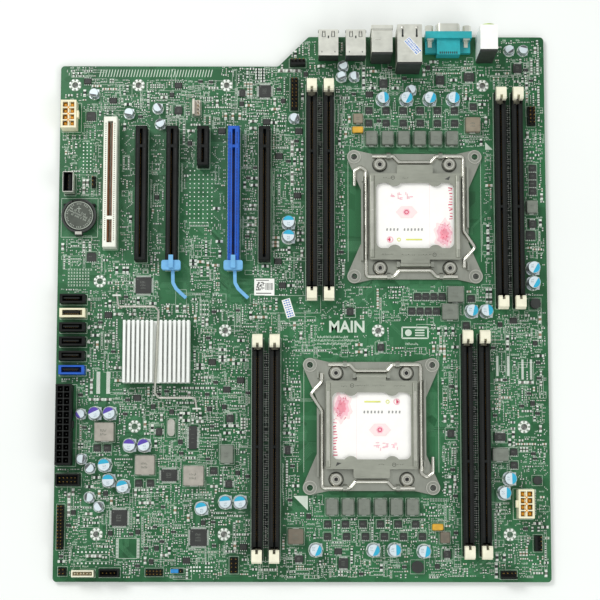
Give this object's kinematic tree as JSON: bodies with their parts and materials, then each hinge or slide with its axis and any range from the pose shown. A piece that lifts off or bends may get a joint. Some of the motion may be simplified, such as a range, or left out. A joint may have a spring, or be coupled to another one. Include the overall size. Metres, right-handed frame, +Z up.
{
  "type": "motherboard",
  "caption": "Workstation motherboard with processor sockets, memory and expansion sockets, rear ports, chipset cooler and coin cell; its levers, plates and latches open.",
  "frame": {"origin": "middle of the bounding box across X and Y, in the plane that the backplates and the connector pegs stand on", "axes": "+Z up from the solder side to the component side, +Y towards the rear connectors, +X to the right seen from above"},
  "size_m": [0.3224, 0.3678, 0.0366],
  "materials": {
    "board_green": "glass-fibre laminate under green solder mask, satin gloss",
    "socket_black": "moulded black thermoplastic",
    "socket_white": "moulded off-white thermoplastic",
    "socket_blue": "moulded blue thermoplastic",
    "retainer_blue": "moulded light blue nylon",
    "latch_cream": "moulded cream nylon",
    "card_paper": "printed white card",
    "frame_steel": "stamped stainless steel, satin",
    "lever_steel": "bright nickel-plated steel",
    "backplate_steel": "black coated steel",
    "chip_black": "moulded epoxy",
    "heatsink_aluminium": "extruded aluminium, clear finish",
    "port_steel": "tinned sheet steel",
    "port_teal": "moulded teal thermoplastic",
    "audio_white": "moulded white thermoplastic",
    "jumper_blue": "moulded blue thermoplastic",
    "can_aluminium": "bright aluminium can with a coloured polarity mark",
    "choke_grey": "pressed ferrite powder, matt grey"
  },
  "bodies": {
    "root": {"audio_stack": "audio_white", "battery_holder": "socket_black", "can_capacitors": "can_aluminium", "chip_packages": "chip_black", "chipset": "chip_black", "chipset_heatsink": "heatsink_aluminium", "chokes": "choke_grey", "circuit_board": "board_green", "cpu_backplates": "backplate_steel", "cpu_frame_1": "frame_steel", "cpu_frame_2": "frame_steel", "cpu_frame_screws": "lever_steel", "cpu_power_connectors": "socket_white", "cpu_socket_bodies": "socket_black", "cpu_socket_cards": "card_paper", "heatsink_clip": "lever_steel", "heatsink_clip_staples": "lever_steel", "internal_usb_port": "socket_black", "lan_stack": "port_steel", "main_power_connector": "socket_black", "memory_sockets": "socket_black", "pci_socket": "socket_white", "pcie_socket_blue": "socket_blue", "pcie_sockets_black": "socket_black", "pin_headers": "socket_black", "power_transistors": "chip_black", "ps2_stack": "port_steel", "sata_port_blue": "socket_blue", "sata_port_white": "socket_white", "sata_ports_black": "socket_black", "serial_port_body": "port_teal", "serial_port_shell": "port_steel", "small_components": "choke_grey", "usb_stacks": "port_steel"},
    "memory_latch_a1_rear": {"memory_latch_a1_rear": "latch_cream"},
    "memory_latch_a1_front": {"memory_latch_a1_front": "latch_cream"},
    "memory_latch_a2_rear": {"memory_latch_a2_rear": "latch_cream"},
    "memory_latch_a2_front": {"memory_latch_a2_front": "latch_cream"},
    "memory_latch_b1_rear": {"memory_latch_b1_rear": "latch_cream"},
    "memory_latch_b1_front": {"memory_latch_b1_front": "latch_cream"},
    "memory_latch_b2_rear": {"memory_latch_b2_rear": "latch_cream"},
    "memory_latch_b2_front": {"memory_latch_b2_front": "latch_cream"},
    "memory_latch_c1_rear": {"memory_latch_c1_rear": "latch_cream"},
    "memory_latch_c1_front": {"memory_latch_c1_front": "latch_cream"},
    "memory_latch_c2_rear": {"memory_latch_c2_rear": "latch_cream"},
    "memory_latch_c2_front": {"memory_latch_c2_front": "latch_cream"},
    "memory_latch_d1_rear": {"memory_latch_d1_rear": "latch_cream"},
    "memory_latch_d1_front": {"memory_latch_d1_front": "latch_cream"},
    "memory_latch_d2_rear": {"memory_latch_d2_rear": "latch_cream"},
    "memory_latch_d2_front": {"memory_latch_d2_front": "latch_cream"},
    "cpu_active_lever_1": {"cpu_active_lever_1": "lever_steel"},
    "cpu_hinge_lever_1": {"cpu_hinge_lever_1": "lever_steel"},
    "cpu_load_plate_1": {"cpu_load_plate_1": "frame_steel"},
    "cpu_active_lever_2": {"cpu_active_lever_2": "lever_steel"},
    "cpu_hinge_lever_2": {"cpu_hinge_lever_2": "lever_steel"},
    "cpu_load_plate_2": {"cpu_load_plate_2": "frame_steel"},
    "card_retainer_1": {"card_retainer_1": "retainer_blue"},
    "card_retainer_2": {"card_retainer_2": "retainer_blue"},
    "coin_cell": {"coin_cell": "lever_steel"},
    "jumper_cap": {"jumper_cap": "jumper_blue"}
  },
  "joints": [
    {"name": "memory_latch_a1_rear_hinge", "type": "hinge", "parent": "root", "child": "memory_latch_a1_rear", "pos_m": [0.00605, 0.1414, 0.00657], "axis": [-1, 0, 0], "range_deg": [0, 28]},
    {"name": "memory_latch_a1_front_hinge", "type": "hinge", "parent": "root", "child": "memory_latch_a1_front", "pos_m": [0.00605, 0.0023, 0.00657], "axis": [1, 0, 0], "range_deg": [0, 28]},
    {"name": "memory_latch_a2_rear_hinge", "type": "hinge", "parent": "root", "child": "memory_latch_a2_rear", "pos_m": [0.01725, 0.1414, 0.00657], "axis": [-1, 0, 0], "range_deg": [0, 28]},
    {"name": "memory_latch_a2_front_hinge", "type": "hinge", "parent": "root", "child": "memory_latch_a2_front", "pos_m": [0.01725, 0.0023, 0.00657], "axis": [1, 0, 0], "range_deg": [0, 28]},
    {"name": "memory_latch_b1_rear_hinge", "type": "hinge", "parent": "root", "child": "memory_latch_b1_rear", "pos_m": [0.13095, 0.1359, 0.00657], "axis": [-1, 0, 0], "range_deg": [0, 28]},
    {"name": "memory_latch_b1_front_hinge", "type": "hinge", "parent": "root", "child": "memory_latch_b1_front", "pos_m": [0.13095, -0.0032, 0.00657], "axis": [1, 0, 0], "range_deg": [0, 28]},
    {"name": "memory_latch_b2_rear_hinge", "type": "hinge", "parent": "root", "child": "memory_latch_b2_rear", "pos_m": [0.14215, 0.1359, 0.00657], "axis": [-1, 0, 0], "range_deg": [0, 28]},
    {"name": "memory_latch_b2_front_hinge", "type": "hinge", "parent": "root", "child": "memory_latch_b2_front", "pos_m": [0.14215, -0.0032, 0.00657], "axis": [1, 0, 0], "range_deg": [0, 28]},
    {"name": "memory_latch_c1_rear_hinge", "type": "hinge", "parent": "root", "child": "memory_latch_c1_rear", "pos_m": [-0.02925, -0.0284, 0.00657], "axis": [-1, 0, 0], "range_deg": [0, 28]},
    {"name": "memory_latch_c1_front_hinge", "type": "hinge", "parent": "root", "child": "memory_latch_c1_front", "pos_m": [-0.02925, -0.1675, 0.00657], "axis": [1, 0, 0], "range_deg": [0, 28]},
    {"name": "memory_latch_c2_rear_hinge", "type": "hinge", "parent": "root", "child": "memory_latch_c2_rear", "pos_m": [-0.01805, -0.0284, 0.00657], "axis": [-1, 0, 0], "range_deg": [0, 28]},
    {"name": "memory_latch_c2_front_hinge", "type": "hinge", "parent": "root", "child": "memory_latch_c2_front", "pos_m": [-0.01805, -0.1675, 0.00657], "axis": [1, 0, 0], "range_deg": [0, 28]},
    {"name": "memory_latch_d1_rear_hinge", "type": "hinge", "parent": "root", "child": "memory_latch_d1_rear", "pos_m": [0.10735, -0.0257, 0.00657], "axis": [-1, 0, 0], "range_deg": [0, 28]},
    {"name": "memory_latch_d1_front_hinge", "type": "hinge", "parent": "root", "child": "memory_latch_d1_front", "pos_m": [0.10735, -0.1648, 0.00657], "axis": [1, 0, 0], "range_deg": [0, 28]},
    {"name": "memory_latch_d2_rear_hinge", "type": "hinge", "parent": "root", "child": "memory_latch_d2_rear", "pos_m": [0.11855, -0.0257, 0.00657], "axis": [-1, 0, 0], "range_deg": [0, 28]},
    {"name": "memory_latch_d2_front_hinge", "type": "hinge", "parent": "root", "child": "memory_latch_d2_front", "pos_m": [0.11855, -0.1648, 0.00657], "axis": [1, 0, 0], "range_deg": [0, 28]},
    {"name": "cpu_active_lever_1_hinge", "type": "hinge", "parent": "root", "child": "cpu_active_lever_1", "pos_m": [0.07415, 0.09545, 0.00667], "axis": [-1, 0, 0], "range_deg": [0, 130]},
    {"name": "cpu_hinge_lever_1_hinge", "type": "hinge", "parent": "root", "child": "cpu_hinge_lever_1", "pos_m": [0.07415, 0.01505, 0.00667], "axis": [1, 0, 0], "range_deg": [0, 115]},
    {"name": "cpu_load_plate_1_hinge", "type": "hinge", "parent": "root", "child": "cpu_load_plate_1", "pos_m": [0.07415, 0.02265, 0.00847], "axis": [1, 0, 0], "range_deg": [0, 110]},
    {"name": "cpu_active_lever_2_hinge", "type": "hinge", "parent": "root", "child": "cpu_active_lever_2", "pos_m": [0.04495, -0.12345, 0.00667], "axis": [1, 0, 0], "range_deg": [0, 130]},
    {"name": "cpu_hinge_lever_2_hinge", "type": "hinge", "parent": "root", "child": "cpu_hinge_lever_2", "pos_m": [0.04495, -0.04305, 0.00667], "axis": [-1, 0, 0], "range_deg": [0, 115]},
    {"name": "cpu_load_plate_2_hinge", "type": "hinge", "parent": "root", "child": "cpu_load_plate_2", "pos_m": [0.04495, -0.05065, 0.00847], "axis": [-1, 0, 0], "range_deg": [0, 110]},
    {"name": "card_retainer_1_hinge", "type": "hinge", "parent": "root", "child": "card_retainer_1", "pos_m": [-0.08603, 0.02205, 0.00617], "axis": [1, 0, 0], "range_deg": [0, 9], "stiffness_Nm_per_rad": 0.005, "springref_deg": -5.73},
    {"name": "card_retainer_2_hinge", "type": "hinge", "parent": "root", "child": "card_retainer_2", "pos_m": [-0.04539, 0.02205, 0.00617], "axis": [1, 0, 0], "range_deg": [0, 9], "stiffness_Nm_per_rad": 0.005, "springref_deg": -5.73},
    {"name": "coin_cell_slide", "type": "slide", "parent": "root", "child": "coin_cell", "axis": [0, 0, 1], "range_m": [0, 0.012]},
    {"name": "jumper_cap_slide", "type": "slide", "parent": "root", "child": "jumper_cap", "axis": [0, 0, 1], "range_m": [0, 0.009]}
  ]
}
